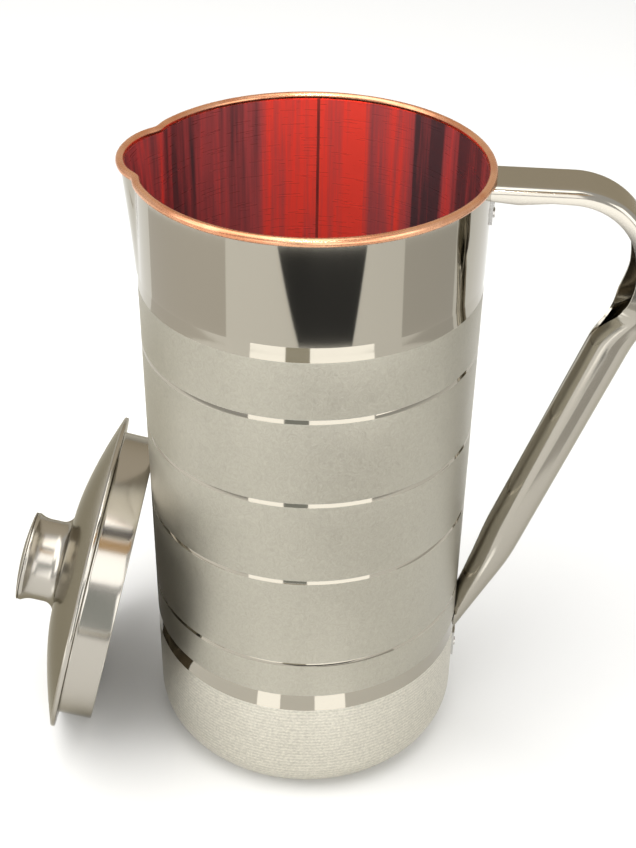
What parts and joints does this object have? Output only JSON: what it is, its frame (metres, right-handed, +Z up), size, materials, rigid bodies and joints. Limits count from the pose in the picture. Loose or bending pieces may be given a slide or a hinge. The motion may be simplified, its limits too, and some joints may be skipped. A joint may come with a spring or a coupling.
{
  "type": "water jug",
  "caption": "Straight-sided steel water jug with a copper lining, a pouring lip, a folded-sheet loop handle and a loose knobbed lid leaning against its side.",
  "frame": {"origin": "centre of the jug's flat base, on the surface it stands on", "axes": "+Z up along the jug's axis, +X towards the handle; the pouring lip is towards -X"},
  "size_m": [0.2199, 0.1204, 0.2263],
  "materials": {
    "body_steel": "satin, with mirror-polished bands",
    "liner_copper": "polished red copper, streaked by oxidation",
    "braze": "dark brazed seam",
    "rim_copper": "polished copper",
    "handle_steel": "polished along its length",
    "lid_steel": "mirror polished",
    "knob_steel": "mirror polished",
    "fastener_steel": "plain turned steel"
  },
  "bodies": {
    "jug": {"outer_shell": "body_steel", "liner_wall": "liner_copper", "liner_base": "liner_copper", "liner_seam": "braze", "rim_bead": "rim_copper", "handle": "handle_steel", "handle_top_foot": "handle_steel", "handle_bottom_tab": "handle_steel", "handle_spot_welds": "handle_steel"},
    "lid": {"lid_cover": "lid_steel", "lid_skirt": "lid_steel", "lid_knob": "knob_steel", "knob_cap": "knob_steel", "knob_boss": "fastener_steel", "knob_washer": "fastener_steel", "knob_screw": "fastener_steel"}
  },
  "joints": [
    {"name": "lid_slide", "type": "slide", "parent": "jug", "child": "lid", "axis": [-0.969, -0.0508, 0.2419], "range_m": [0, 0.12]}
  ]
}
